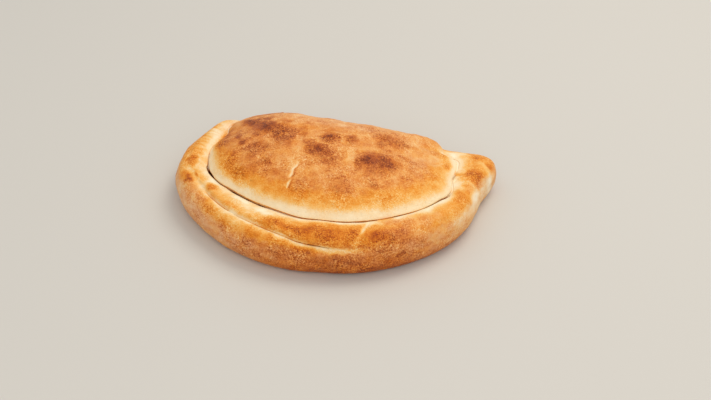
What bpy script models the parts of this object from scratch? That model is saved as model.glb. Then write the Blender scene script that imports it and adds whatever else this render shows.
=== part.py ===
"""A calzone: a round of pizza dough folded in half, its open edge rolled back over the top, and baked.

It stands on its flat base, +Z up, with +X along the fold and +Y towards the fold.
One closed solid: baked dough has one skin, and what it is filled with can't be seen.
"""

from math import pi

import bmesh
import bpy
import numpy as np

MM = 0.001  # the sizes below are in millimetres, the mesh in metres

# How finely the skin is divided.
SEGMENTS = 96
BASE_ROWS = 3
UNDER_ROWS = 5
ROLL_ROWS = 7
FLAP_ROWS = 8
DOME_ROWS = 18

# The outline seen from above: the arc of the rolled edge, cut off at the back by the fold.
ARC_HALF_LENGTH = 128.0
ARC_HALF_DEPTH = 133.0
ARC_CENTRE_X = -2.0
ARC_CENTRE_Y = 34.0
FOLD_Y = 64.0
FOLD_TURN = -6.0  # degrees that the fold turns away from +X
CORNER_SHARPNESS = 9.0
PARALLEL_LIMIT = 0.03  # directions closer than this to parallel with the fold's line never meet it

# Compass directions are degrees about the middle of the dome: 0 is +X, 90 is the fold,
# 180 is -X and 270 is the middle of the rolled edge.
OUTLINE_STRETCH = {
    0: 0.991, 12: 1.048, 18: 1.063, 25: 1.01, 31: 0.985, 38: 0.98, 47: 0.992, 60: 1.014, 76: 0.992,
    94: 1.012, 112: 0.994, 126: 1.004, 152: 0.887, 172: 0.975, 186: 1.022, 198: 1.018, 212: 1.006,
    230: 1.002, 255: 0.998, 270: 0.985, 285: 0.999, 305: 1.01, 322: 1.022, 335: 1.026, 345: 1.019,
}

# The rolled edge: how far it reaches in from the outline, and how high it stands.
RIM_WIDTH = {
    0: 24, 4: 26.4, 9: 30.5, 14: 33.5, 20: 34, 28: 24, 36: 9, 44: 3, 90: 3, 132: 3, 141: 6, 149: 13.5,
    154: 21, 159: 23, 166: 23, 171: 23.7, 177: 25.6, 184: 27.3, 190: 27.6, 196: 29, 203: 31.8, 215: 33.8,
    231: 35, 258: 31.5, 283: 29.5, 310: 28, 334: 24.5, 342: 23, 347: 20.6, 352: 20.4, 356: 21.8,
}
RIM_TOP = {
    0: 31, 14: 29.8, 25: 27.5, 40: 25, 90: 27, 128: 29.5, 143: 31, 152: 30.8, 180: 31, 225: 32, 270: 34,
    315: 34,
}
LIP_DROP = 2.5
BELLY_HEIGHT = 15.0
BASE_INSET = 11.0
# 1 where the edge is rolled back over the top, 0 where there is only the fold.
ROLLED = {0: 1, 20: 1, 36: 0, 90: 0, 134: 0, 148: 1, 180: 1, 270: 1}
# How far up the fold its rows of points reach before the dome's own rows begin, as a share of a right
# angle, and how many steps of the rolled edge's own count that takes: two to its lip, and the gap.
FOLD_REACH = 0.15
FOLD_STEPS = 2.2

# The gap between the flap's lip and the foot of the dome. The points of its section: how far each lies
# past the lip or under the edge of the dome, and how deep it is, as a share of the gap's depth.
GAP_WIDTH = 1.8
GAP_DEPTH = 6.0
POINTS_PAST_LIP = [(0.1, 0.45), (1.2, 1.0)]
POINTS_UNDER_DOME = [(2.2, 0.6), (0.8, 0.2)]

# The crease between the flap and the outer roll: its distance in from the outline, which stays below
# a share of the rim's width, and its depth.
CREASE_INSET = {
    0: 6, 60: 5, 120: 5, 160: 8, 178: 9.5, 190: 13.5, 206: 14, 230: 13.9, 240: 12.7, 255: 8.4, 270: 4.6,
    285: 3.2, 305: 3,
}
CREASE_LIMIT = 0.45
CREASE_DEPTH = {0: 0, 150: 0, 175: 1.2, 195: 2.6, 215: 3.2, 250: 2.8, 272: 1.6, 290: 0.5, 305: 0}
CREASE_WIDTH = 3.6

# The dome over the filling.
CROWN_HEIGHT = 54.0
CROWN_LEAN = 0.032  # rise towards the fold, for each millimetre
DOME_FOOT = {0: 29, 18: 27, 40: 21, 60: 19, 90: 19, 120: 19, 140: 21, 162: 28, 180: 29, 270: 32, 315: 32}
DOME_SPREAD_POWER = 2.4
DOME_RISE_POWER = {
    0: 1.4, 8: 1.2, 18: 1.2, 32: 2.0, 60: 2.3, 120: 2.3, 150: 2.0, 162: 1.6, 178: 1.6, 190: 1.7, 210: 1.7,
    240: 1.55, 300: 1.55, 350: 1.5,
}
# Swells of the dome: x, y, spread and height.
SWELLS = [
    (-45, 40, 45, 3.5),
    (92, 22, 36, -3.5),
    (-72, 52, 20, -4.2),
    (-42, 52, 16, 2.0),
]

# Blisters that the oven raised: x, y, length, width, turn in degrees, and rise.
BLISTERS = [
    (-56, 36, 30, 18, -10, 2.2),
    (-40, 14, 22, 18, 0, 1.6),
    (-76, 20, 26, 20, 30, 1.6),
    (-68, -9, 26, 16, -25, 1.3),
    (-12, 9, 28, 18, 0, 2.2),
    (3, 26, 28, 14, -5, 1.6),
    (34, 0, 36, 24, 0, 2.6),
    (48, 36, 28, 18, -20, 1.4),
    (5, -24, 26, 18, 10, 1.4),
    (39, -25, 24, 16, 10, 1.2),
    (67, 3, 18, 18, 0, 1.0),
    (113, 22, 18, 15, 40, 1.8),
    (95, -16, 26, 16, 60, 1.2),
    (84, -40, 26, 16, 35, 1.0),
    (44, -67, 28, 14, 12, 1.4),
    (-4, -72, 34, 12, 0, 1.0),
    (-42, -59, 30, 12, -18, 1.0),
    (-92, -24, 24, 12, -55, 1.2),
    (-112, -8, 18, 14, 80, 1.0),
    (-110, 40, 34, 16, 70, 1.2),
]


def by_compass(values):
    """A smooth closed curve through hand-set values, as a function of the angle in radians."""
    keys = np.array(sorted(values), float)
    heights = np.array([values[key] for key in sorted(values)], float)
    count = len(keys)

    def slope(before, after):
        same_way = before * after > 0
        total = np.where(same_way, before + after, 1.0)
        return np.where(same_way, 2 * before * after / total, 0.0)

    def at(angle):
        degrees = np.degrees(angle) % 360
        i = (np.searchsorted(keys, degrees, side="right") - 1) % count
        h, j, k = (i - 1) % count, (i + 1) % count, (i + 2) % count
        span = (keys[j] - keys[i]) % 360
        here = (heights[j] - heights[i]) / span
        before = (heights[i] - heights[h]) / ((keys[i] - keys[h]) % 360)
        after = (heights[k] - heights[j]) / ((keys[k] - keys[j]) % 360)
        t = ((degrees - keys[i]) % 360) / span
        start = slope(before, here) * span
        end = slope(here, after) * span
        rise = heights[i] * (1 + 2 * t) * (1 - t) ** 2 + heights[j] * t * t * (3 - 2 * t)
        return rise + start * t * (1 - t) ** 2 + end * t * t * (t - 1)

    return at


def outline(angle):
    """Distance from the middle of the dome to the outline: an ellipse and the fold's line, softly joined."""
    along, across = np.cos(angle), np.sin(angle)
    a = (along / ARC_HALF_LENGTH) ** 2 + (across / ARC_HALF_DEPTH) ** 2
    b = -2 * (along * ARC_CENTRE_X / ARC_HALF_LENGTH**2 + across * ARC_CENTRE_Y / ARC_HALF_DEPTH**2)
    c = (ARC_CENTRE_X / ARC_HALF_LENGTH) ** 2 + (ARC_CENTRE_Y / ARC_HALF_DEPTH) ** 2 - 1
    to_arc = (-b + np.sqrt(b * b - 4 * a * c)) / (2 * a)
    towards_fold = np.cos(angle - np.radians(90 + FOLD_TURN))
    to_fold = FOLD_Y / np.maximum(towards_fold, PARALLEL_LIMIT)
    joined = (to_arc**-CORNER_SHARPNESS + to_fold**-CORNER_SHARPNESS) ** (-1 / CORNER_SHARPNESS)
    return joined * by_compass(OUTLINE_STRETCH)(angle)


def crown(x, y):
    """Height that the dome would have if it had no edge."""
    height = CROWN_HEIGHT + CROWN_LEAN * y
    for swell_x, swell_y, spread, rise in SWELLS:
        height = height + rise * np.exp(-((x - swell_x) ** 2 + (y - swell_y) ** 2) / (2 * spread**2))
    return height


def blisters(x, y):
    """How far the blisters raise the skin at a place seen from above."""
    total = 0.0
    for middle_x, middle_y, length, width, turn, rise in BLISTERS:
        along = (x - middle_x) * np.cos(np.radians(turn)) + (y - middle_y) * np.sin(np.radians(turn))
        across = (y - middle_y) * np.cos(np.radians(turn)) - (x - middle_x) * np.sin(np.radians(turn))
        total = total + rise * np.exp(-((2 * along / length) ** 2) - (2 * across / width) ** 2)
    return total


def loft(angle):
    """Rows of points round the calzone, from under its edge up to the last row below the dome's top."""
    edge = outline(angle)
    width = by_compass(RIM_WIDTH)(angle)
    top = by_compass(RIM_TOP)(angle)
    rolled = by_compass(ROLLED)(angle)
    inset = np.minimum(by_compass(CREASE_INSET)(angle), CREASE_LIMIT * width)
    seam = edge - width
    lip = seam + GAP_WIDTH / 2
    half = width / 2
    lip_height = top - LIP_DROP
    dome_foot = by_compass(DOME_FOOT)(angle)
    belly = rolled * BELLY_HEIGHT + (1 - rolled) * dome_foot

    # The dome: a raised curve from its edge to the crown, steep at the edge.
    dome_edge = rolled * (seam - GAP_WIDTH / 2) + (1 - rolled) * edge

    def dome(share):
        radius = share * dome_edge
        rim = np.maximum(1 - share**DOME_SPREAD_POWER, 0) ** (1 / by_compass(DOME_RISE_POWER)(angle))
        high = crown(radius * np.cos(angle), radius * np.sin(angle))
        return radius, dome_foot + (high - dome_foot) * rim

    def fold_point(t):
        """The fold at 0 is its belly, and at FOLD_STEPS the place where the dome's own rows begin."""
        return np.array(dome(np.cos(t / FOLD_STEPS * FOLD_REACH * pi / 2)))

    def under_point(t):
        turn = t * pi / 2
        return edge - BASE_INSET * (1 - np.sin(turn)), belly * (1 - np.cos(turn))

    def rim_point(t):
        """The rolled edge at 0 is its belly, at 1 its crest and at 2 the lip over the gap."""
        turn = np.minimum(t, 1) * pi / 2
        past = np.maximum(t - 1, 0)
        radius = edge - half * (1 - np.cos(turn)) - (edge - half - lip) * past
        return radius, BELLY_HEIGHT + (top - BELLY_HEIGHT) * np.sin(turn) - LIP_DROP * past**3

    at_crease = np.arccos(1 - 2 * inset / width) / (pi / 2)
    rim_rows, fold_rows = [], []
    for step in range(ROLL_ROWS + FLAP_ROWS + 1):
        if step <= ROLL_ROWS:
            t = at_crease * step / ROLL_ROWS
        else:
            t = at_crease + (2 - at_crease) * (step - ROLL_ROWS) / FLAP_ROWS
        rim_rows.append(rim_point(t))
        fold_rows.append(fold_point(t))
    rim_rows = np.array(rim_rows)

    # The crease sinks the rim along its own normal.
    steps = np.diff(rim_rows, axis=0)
    along = np.concatenate([np.zeros((1, len(angle))), np.cumsum(np.hypot(steps[:, 0], steps[:, 1]), axis=0)])
    tangent = np.gradient(rim_rows, axis=0)
    tangent = tangent / np.hypot(tangent[:, 0], tangent[:, 1])[:, None]
    sunk = by_compass(CREASE_DEPTH)(angle) * np.exp(-(((along - along[ROLL_ROWS]) / CREASE_WIDTH) ** 2))
    rim_rows[:, 0] -= sunk * tangent[:, 1]
    rim_rows[:, 1] += sunk * tangent[:, 0]

    rows = []
    for step in range(UNDER_ROWS):
        rows.append(under_point(step / UNDER_ROWS))
    for rim, fold in zip(rim_rows, fold_rows):
        rows.append(rolled * rim + (1 - rolled) * fold)
    gap = [(lip - past, lip_height - deep * GAP_DEPTH) for past, deep in POINTS_PAST_LIP]
    gap += [(dome_edge - past, lip_height - deep * GAP_DEPTH) for past, deep in POINTS_UNDER_DOME]
    for step, point in enumerate(gap):
        fold = fold_point(2 + (FOLD_STEPS - 2) * (step + 1) / (len(gap) + 1))
        rows.append(rolled * np.array(point) + (1 - rolled) * fold)
    for step in range(DOME_ROWS):
        climb = step / DOME_ROWS
        start = (1 - rolled) * FOLD_REACH
        share = np.cos((start + (1 - start) * climb) * pi / 2)
        rows.append(dome(share))
    return np.array(rows)


def clear_scene():
    for obj in list(bpy.data.objects):
        bpy.data.objects.remove(obj, do_unlink=True)


def baked_dough():
    material = bpy.data.materials.new("baked_dough")
    material.use_nodes = True
    shader = material.node_tree.nodes["Principled BSDF"]
    shader.inputs["Base Color"].default_value = (0.62, 0.30, 0.10, 1.0)
    shader.inputs["Roughness"].default_value = 0.7
    shader.inputs["Metallic"].default_value = 0.0
    return material


def shaped_sphere():
    """A sphere's rows and segments, moved to the rows of the loft."""
    angle = np.linspace(0, 2 * pi, SEGMENTS, endpoint=False)
    rows = loft(angle)
    base = [np.array([rows[0][0] * (step + 1) / (BASE_ROWS + 1), 0 * angle]) for step in range(BASE_ROWS)]
    rows = np.concatenate([np.array(base), rows])
    mesh = bmesh.new()
    bmesh.ops.create_uvsphere(mesh, u_segments=SEGMENTS, v_segments=len(rows) + 1, radius=1.0)
    for vertex in mesh.verts:
        x, y, z = vertex.co
        row = round((1 - np.arccos(np.clip(z, -1, 1)) / pi) * (len(rows) + 1)) - 1
        if row < 0:
            vertex.co = (0, 0, 0)
        elif row >= len(rows):
            vertex.co = (0, 0, float(crown(0, 0)))
        else:
            segment = round(np.arctan2(y, x) / (2 * pi) * SEGMENTS) % SEGMENTS
            radius, height = rows[row, :, segment]
            vertex.co = (radius * np.cos(angle[segment]), radius * np.sin(angle[segment]), height)
    return mesh


def stand_at_middle(skin):
    """The origin goes under the middle of the outline, on the surface that the calzone stands on."""
    points = np.array([vertex.co for vertex in skin.verts])
    low, high = points.min(axis=0), points.max(axis=0)
    middle = (low + high) / 2
    bmesh.ops.translate(skin, vec=(-middle[0], -middle[1], -low[2]), verts=skin.verts)


def main():
    clear_scene()
    collection = bpy.data.collections.new("calzone")
    bpy.context.scene.collection.children.link(collection)
    skin = shaped_sphere()
    stand_at_middle(skin)
    skin.normal_update()
    for vertex in skin.verts:
        vertex.co.z += float(blisters(vertex.co.x, vertex.co.y)) * max(vertex.normal.z, 0.0)
    bmesh.ops.scale(skin, vec=(MM, MM, MM), verts=skin.verts)
    mesh = bpy.data.meshes.new("calzone")
    skin.to_mesh(mesh)
    skin.free()
    mesh.shade_smooth()
    calzone = bpy.data.objects.new("calzone", mesh)
    calzone.data.materials.append(baked_dough())
    collection.objects.link(calzone)


main()
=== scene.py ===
# %% [markdown]
# # A calzone from the oven
#
# A calzone is a round of pizza dough folded in half over its filling. On this one the open edge was
# rolled back over the top, so a thick rim runs round the dome in the middle. The oven browned what
# stands high, and the folds that stayed covered are still pale.
#
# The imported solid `calzone` says how big it is and where it stands. This lesson makes its crust: first
# the shape with its two seams, then the blisters and wrinkles, then what the oven did to its colour.

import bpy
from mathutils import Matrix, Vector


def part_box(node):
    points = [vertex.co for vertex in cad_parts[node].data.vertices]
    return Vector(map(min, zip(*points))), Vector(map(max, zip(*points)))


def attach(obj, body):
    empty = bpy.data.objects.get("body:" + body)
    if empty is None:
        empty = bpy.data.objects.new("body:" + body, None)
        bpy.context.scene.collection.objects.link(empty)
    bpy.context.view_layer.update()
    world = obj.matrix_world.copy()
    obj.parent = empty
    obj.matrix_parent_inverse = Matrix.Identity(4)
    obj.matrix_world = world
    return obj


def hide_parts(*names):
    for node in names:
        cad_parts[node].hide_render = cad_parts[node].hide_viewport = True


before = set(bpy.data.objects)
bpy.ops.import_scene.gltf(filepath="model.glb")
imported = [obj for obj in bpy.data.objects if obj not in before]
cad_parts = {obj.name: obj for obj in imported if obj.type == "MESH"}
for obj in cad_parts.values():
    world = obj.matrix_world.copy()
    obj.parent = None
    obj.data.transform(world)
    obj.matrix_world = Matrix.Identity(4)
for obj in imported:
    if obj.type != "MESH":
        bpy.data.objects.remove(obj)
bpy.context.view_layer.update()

# %% [markdown]
# ## Camera
#
# A camera is an object with a lens. It could be aimed with a Track To constraint, but three turns say
# the same without a second object: how high it looks from, how far round it stands, and its tilt.
# It looks down on the calzone as someone who sits at the table does, and its aim is a little beside
# the middle of the solid's box.

# %% Place the camera
from math import cos, pi, radians, sin

import bpy
from mathutils import Matrix, Vector

ELEVATION = 36.75  # degrees above the table
ROUND_TO_RIGHT = 4.6  # degrees from straight in front
TILT = 1.5  # degrees that the view leans
DISTANCE = 0.946
LENS_MM = 60.8
AIM_FROM_MIDDLE = (0.0186, -0.0085, -0.0086)

low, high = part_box("calzone")
middle = (low + high) / 2
aim = middle + Vector(AIM_FROM_MIDDLE)
towards_camera = Vector(
    (
        sin(radians(ROUND_TO_RIGHT)) * cos(radians(ELEVATION)),
        -cos(radians(ROUND_TO_RIGHT)) * cos(radians(ELEVATION)),
        sin(radians(ELEVATION)),
    )
)
lens = bpy.data.cameras.new("table_camera")
lens.lens = LENS_MM
camera = bpy.data.objects.new("table_camera", lens)
bpy.context.scene.collection.objects.link(camera)
camera.matrix_world = (
    Matrix.Translation(aim + towards_camera * DISTANCE)
    @ Matrix.Rotation(radians(ROUND_TO_RIGHT), 4, "Z")
    @ Matrix.Rotation(radians(90 - ELEVATION), 4, "X")
    @ Matrix.Rotation(radians(TILT), 4, "Z")
)
bpy.context.scene.camera = camera
print("camera stands at", [round(value, 3) for value in camera.matrix_world.translation])

# %% [markdown]
# ## Materials: three small helpers
#
# Colours are written as on a paint card, in sRGB hex, but shaders want linear light, so one function
# turns one into the other. Another adds a node, with its settings and its links, in one call, and a
# third starts a material. Nodes could be joined by hand in the Shader Editor, but then their numbers
# would be spread over many small panels.

# %% Colours and nodes
def linear(hex_colour):
    """An sRGB colour such as "#f4a448" as the linear RGBA that shaders use."""
    parts = [int(hex_colour[i : i + 2], 16) / 255 for i in (1, 3, 5)]
    return tuple(c / 12.92 if c <= 0.04045 else ((c + 0.055) / 1.055) ** 2.4 for c in parts) + (1.0,)


def add_node(tree, kind, settings=None, **inputs):
    """Adds a node. settings are its properties; inputs are values, or what they are linked to.

    An input is called by its name, or by its number after an underscore. What it is linked to is a
    socket, or a node, whose first output is then taken.
    """
    node = tree.nodes.new("ShaderNode" + kind)
    for name, value in (settings or {}).items():
        setattr(node, name, value)
    for name, value in inputs.items():
        socket = node.inputs[int(name[1:]) if name[0] == "_" else name.replace("_", " ")]
        if isinstance(value, bpy.types.Node):
            value = value.outputs[0]
        if isinstance(value, bpy.types.NodeSocket):
            tree.links.new(value, socket)
        else:
            socket.default_value = value
    return node


def new_material(name):
    """A material with an empty Principled BSDF, its node tree and that shader."""
    material = bpy.data.materials.new(name)
    material.use_nodes = True
    return material, material.node_tree, material.node_tree.nodes["Principled BSDF"]


print("orange crust in linear light:", [round(part, 3) for part in linear("#ec9c39")[:3]])

# %% [markdown]
# ## Floor and light
#
# The calzone stands on a plain pale floor. Its light is soft, as in a studio with large white lamps:
# a big one above and behind, to the right, which brings out the ridges of the crust, a bigger and
# weaker one in front, which shows the rolled side, and the pale room itself, which fills the shadows.
# One sun lamp would be simpler, but its hard shadows make bread look like stone.
# The Standard view transform shows colours as they were chosen, where the default one would grey the
# warm crust.

# %% Build the stage
FLOOR_SIZE = 6.0

bpy.ops.object.select_all(action="DESELECT")
bpy.ops.mesh.primitive_plane_add(size=FLOOR_SIZE, location=(0, 0, low.z))
floor = bpy.context.object
floor.name = "floor"
floor_material, _, floor_shader = new_material("matt_painted_board")
floor_shader.inputs["Base Color"].default_value = linear("#cfccc6")
floor_shader.inputs["Roughness"].default_value = 0.8
floor.data.materials.append(floor_material)


def add_lamp(name, position, size, watts, colour):
    """A square area lamp that shines on the calzone from a position in metres from its middle."""
    light = bpy.data.lights.new(name, "AREA")
    light.size = size
    light.energy = watts
    light.color = linear(colour)[:3]
    lamp = bpy.data.objects.new(name, light)
    bpy.context.scene.collection.objects.link(lamp)
    lamp.location = middle + Vector(position)
    lamp.rotation_euler = Vector(position).to_track_quat("Z", "Y").to_euler()


add_lamp("lamp_behind", (0.55, 0.60, 1.40), 0.9, 10, "#fff6ea")
add_lamp("lamp_front", (0.2, -1.3, 1.1), 1.2, 7, "#fffaf4")
world = bpy.data.worlds.new("pale_room")
bpy.context.scene.world = world
world.use_nodes = True
world.node_tree.nodes["Background"].inputs["Color"].default_value = linear("#f2f1ee")
world.node_tree.nodes["Background"].inputs["Strength"].default_value = 0.75
bpy.context.scene.view_settings.view_transform = "Standard"
print("stage: a floor, two lamps and a pale room")

# %% [markdown]
# ## Smooth curves round the compass
#
# Cut anywhere from its middle to its edge, the calzone shows the same shape: a flat base, a rounded
# side, the roll over the top that ends in a lip, a narrow gap, and the dome. Only the sizes change on
# the way round. So the crust is a loft: one section, swept round the middle of the dome, its sizes
# read from smooth curves over the compass. 0 is to the right, 90 the fold, 180 left and 270 in front.
#
# A curve goes through a few given values. An ordinary spline swings past them, which would
# turn a steady rim into a wavy one. This one is as steep at each value as the harmonic mean of the
# slopes on its two sides, so a value between two others stays between them.

# %% Curves and soft steps
import numpy as np


def mean_slope(before, after):
    """The harmonic mean of two slopes, or level where they go different ways."""
    same_way = before * after > 0
    total = np.where(same_way, before + after, 1.0)
    return np.where(same_way, 2 * before * after / total, 0.0)


def by_compass(values):
    """A smooth closed curve through given values, as a function of the angle in radians."""
    keys = np.array(sorted(values), float)
    heights = np.array([values[key] for key in sorted(values)], float)
    spans = (np.roll(keys, -1) - keys) % 360
    rises = (np.roll(heights, -1) - heights) / spans
    slopes = mean_slope(np.roll(rises, 1), rises)

    def at(angle):
        degrees = np.degrees(angle) % 360
        i = (np.searchsorted(keys, degrees, side="right") - 1) % len(keys)
        j = (i + 1) % len(keys)
        t = ((degrees - keys[i]) % 360) / spans[i]
        level = heights[i] * (1 + 2 * t) * (1 - t) ** 2 + heights[j] * t * t * (3 - 2 * t)
        return level + (slopes[i] * t * (1 - t) ** 2 + slopes[j] * t * t * (t - 1)) * spans[i]

    return at


def ease(start, end, value):
    """0 before start, 1 after end, and smooth between them. Start may be the larger one."""
    t = np.clip((value - start) / (end - start), 0, 1)
    return t * t * (3 - 2 * t)


def near(distance, width):
    """1 at no distance, a third at one width, and almost nothing at two."""
    return np.exp(-((distance / width) ** 2))


print("halfway up a soft step:", float(ease(0, 1, 0.5)))

# %% [markdown]
# ## The outline
#
# Seen from above, a calzone is half a round: an arc, cut off by the straight fold. Here the arc is an
# ellipse. The two are joined softly, because dough has no sharp corner, and then stretched by a few
# parts in a hundred to the uneven outline of this one.

# %% The outline, in millimetres
ARC_HALF_LENGTH = 128.0
ARC_HALF_DEPTH = 133.0
ARC_CENTRE_X = -2.0
ARC_CENTRE_Y = 34.0
FOLD_Y = 64.0
FOLD_TURN = -6.0  # degrees that the fold turns away from +X
FOLD_FACES_AT_LEAST = 0.03  # keeps the fold's line in front of directions that never meet it
CORNER_SHARPNESS = 9.0
OUTLINE_STRETCH = by_compass(
    {0: 0.991, 12: 1.048, 18: 1.063, 25: 1.01, 31: 0.985, 38: 0.98, 47: 0.992, 60: 1.014, 76: 0.992}
    | {94: 1.012, 112: 0.994, 126: 1.004, 152: 0.887, 172: 0.975, 186: 1.022, 198: 1.018, 212: 1.006}
    | {230: 1.002, 255: 0.998, 270: 0.985, 285: 0.999, 305: 1.010, 322: 1.022, 335: 1.026, 345: 1.019}
)


def outline(angle):
    """Distance from the middle of the dome to the outline: ellipse and fold line, softly joined."""
    along, across = np.cos(angle), np.sin(angle)
    a = (along / ARC_HALF_LENGTH) ** 2 + (across / ARC_HALF_DEPTH) ** 2
    b = -2 * (along * ARC_CENTRE_X / ARC_HALF_LENGTH**2 + across * ARC_CENTRE_Y / ARC_HALF_DEPTH**2)
    c = (ARC_CENTRE_X / ARC_HALF_LENGTH) ** 2 + (ARC_CENTRE_Y / ARC_HALF_DEPTH) ** 2 - 1
    to_arc = (-b + np.sqrt(b * b - 4 * a * c)) / (2 * a)
    facing_fold = np.cos(angle - np.radians(90 + FOLD_TURN))
    to_fold = FOLD_Y / np.maximum(facing_fold, FOLD_FACES_AT_LEAST)
    joined = (to_arc**-CORNER_SHARPNESS + to_fold**-CORNER_SHARPNESS) ** (-1 / CORNER_SHARPNESS)
    return joined * OUTLINE_STRETCH(angle)


print("outline, right to left, in mm:", round(float(outline(0.0) + outline(pi)), 1))

# %% [markdown]
# ## The rim
#
# The rim is the edge of the dough, rolled back over the top: a flap on the inside, and the roll that
# it was folded from on the outside. It is widest in front, and at the two ends of the fold it runs
# out. Along the fold there is no rim at all, and the side is the dome's own.

# %% Sizes of the rim, in millimetres
RIM_WIDTH = by_compass(
    {0: 24, 4: 26.4, 9: 30.5, 14: 33.5, 20: 34, 28: 24, 36: 9, 44: 3, 90: 3, 132: 3, 141: 6, 149: 13.5}
    | {154: 21, 159: 23, 166: 23, 171: 23.7, 177: 25.6, 184: 27.3, 190: 27.6, 196: 29, 203: 31.8}
    | {215: 33.8, 231: 35, 258: 31.5, 283: 29.5, 310: 28, 334: 24.5, 342: 23, 347: 20.6, 352: 20.4}
    | {356: 21.8}
)
RIM_TOP = by_compass(
    {0: 31, 14: 29.8, 25: 27.5, 40: 25, 90: 27, 128: 29.5, 143: 31, 152: 30.8, 180: 31, 225: 32}
    | {270: 34, 315: 34}
)
BELLY_HEIGHT = 15.0
BASE_INSET = 11.0
LIP_DROP = 2.5
# 1 where the edge is rolled back over the top, 0 where there is only the fold.
ROLLED = by_compass({0: 1, 20: 1, 36: 0, 90: 0, 134: 0, 148: 1, 180: 1, 270: 1})
print("rim in front:", RIM_WIDTH(1.5 * pi).round(1), "mm wide and", RIM_TOP(1.5 * pi).round(1), "mm high")

# %% [markdown]
# ## The two seams
#
# Where the flap ends over the dome there is the first seam: its lip leans on the foot of the dome. It
# gapes on the left, is nearly shut in front, and at the right dough and dome have grown together but
# for a short crack or two. Where flap and roll meet is the second seam, a valley that opens into a
# slit here and there.

# %% Sizes of the seams, in millimetres
GAP_AT_FOOT = 0.9  # between the flap's own edge and the foot of the dome
LIP_STANDS_OFF = by_compass(
    {1: 0.9, 3: 1, 4.5: 1.4, 6.5: 1.2, 12: 2, 60: 2, 150: 1, 170: 0.8, 178: 0.9, 180.5: 1.1, 182.5: 2.2}
    | {187: 2.1, 190: 1.1, 194: 0.6, 201: 0.7, 207: 1.4, 216: 1.1, 225: 1.2, 231: 0.7, 240: 0.3}
    | {262: 0.25, 290: 0.3, 295: 0.9, 300: 0.5, 318: 0.55, 330: 0.45, 340: 0.5, 346: 1.4, 349: 1.1}
    | {352: 1.2, 357: 1.1}
)
GAP_DEPTH = by_compass(
    {2: 0.4, 4: 2.6, 5.5: 2.6, 7.5: 0.4, 12: 0.1, 60: 0.1, 150: 0.1, 168: 0.3, 176: 0.9, 180.5: 2.2}
    | {182.5: 7, 188: 7, 193: 4.4, 200: 4, 206: 6, 227: 6, 233: 2.4, 262: 1.5, 288: 1.8, 293: 4}
    | {320: 3.6, 340: 3.6, 346: 5, 349: 2.6, 352: 0.3, 357: 0.3}
)
UNDERCUT = 1.2  # how far a deep gap reaches in under the dome

CREASE_INSET = by_compass(
    {0: 6, 60: 5, 120: 5, 160: 8, 178: 9.5, 183: 11.3, 189: 14, 198: 14.6, 206: 14, 218: 14.2}
    | {230: 13.9, 238: 13.1, 246: 11.4, 254: 8.7, 260: 6.1, 265: 4.8, 270: 4.1, 276: 3.4, 285: 3, 305: 3}
)
VALLEY_DEPTH = by_compass(
    {0: 0, 150: 0, 172: 0.6, 190: 1.4, 205: 2.3, 225: 2.6, 245: 2.4, 262: 1.9, 275: 1.3, 288: 0.6, 300: 0}
)
SLIT_DEPTH = by_compass(
    {0: 0, 198: 0, 204: 1.2, 209: 2.4, 217: 2.2, 221: 0.5, 226: 1.2, 233: 1.4, 238: 2.4, 246: 2.4}
    | {251: 1.2, 257: 2, 268: 2.2, 273: 0.8, 281: 0.2, 290: 0}
)
VALLEY_ABOVE = 1.6  # how far the valley reaches into the flap
VALLEY_BELOW = 4.6  # and into the roll
SLIT_WIDTH = 0.55
print("the gap is deepest at the left:", GAP_DEPTH(radians(185)).round(1), "mm")

# %% [markdown]
# ## The dome
#
# Steam and filling push the folded dough up into a dome. A quarter of an ellipse would give a smooth
# one. This one is fuller, so its section is a superellipse, with a steepness that changes round the
# compass, and its crown is a slope with a few broad swells and hollows.

# %% Shape of the dome
CROWN_HEIGHT = 54.0
CROWN_LEAN = 0.032  # rise towards the fold, for each millimetre
DOME_FOOT = by_compass(
    {0: 29, 18: 27, 40: 21, 60: 19, 90: 19, 120: 19, 140: 21, 162: 28, 180: 29, 270: 32, 315: 32}
)
DOME_SPREAD_POWER = 2.4
DOME_RISE_POWER = by_compass(
    {0: 1.4, 8: 1.2, 18: 1.2, 32: 2, 60: 2.3, 120: 2.3, 150: 2, 162: 1.6, 178: 1.6, 190: 1.7, 210: 1.7}
    | {240: 1.55, 300: 1.55, 350: 1.5}
)
# x, y, spread and height
SWELLS = [(-45, 40, 45, 3.5), (92, 22, 36, -3.5), (-72, 52, 20, -4.2), (-42, 52, 16, 2.0)]


def crown(x, y):
    """Height that the dome would have if it had no edge."""
    height = CROWN_HEIGHT + CROWN_LEAN * y
    for swell_x, swell_y, spread, rise in SWELLS:
        height = height + rise * np.exp(-((x - swell_x) ** 2 + (y - swell_y) ** 2) / (2 * spread**2))
    return height


def dome_edge(angle):
    """Distance from the middle of the dome to its foot."""
    return outline(angle) - ROLLED(angle) * (RIM_WIDTH(angle) + GAP_AT_FOOT)


def dome(share, angle):
    """Radius and height of the dome at a share of the way from its middle to its foot."""
    radius = share * dome_edge(angle)
    rise = np.maximum(1 - share**DOME_SPREAD_POWER, 0) ** (1 / DOME_RISE_POWER(angle))
    foot = DOME_FOOT(angle)
    top = crown(radius * np.cos(angle), radius * np.sin(angle))
    return np.array([radius, foot + (top - foot) * rise])


print("the dome's foot is", round(float(dome_edge(0.0) + dome_edge(pi)), 1), "mm across")

# %% [markdown]
# ## Rows of the section
#
# The section is worked out as rows of points, and each row runs once round the calzone. The rows lie
# close together where the dough bends sharply, at the seams, and further apart where it is smooth.
# At the fold there is no rim, so there the same rows climb the side of the dome instead.

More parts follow.
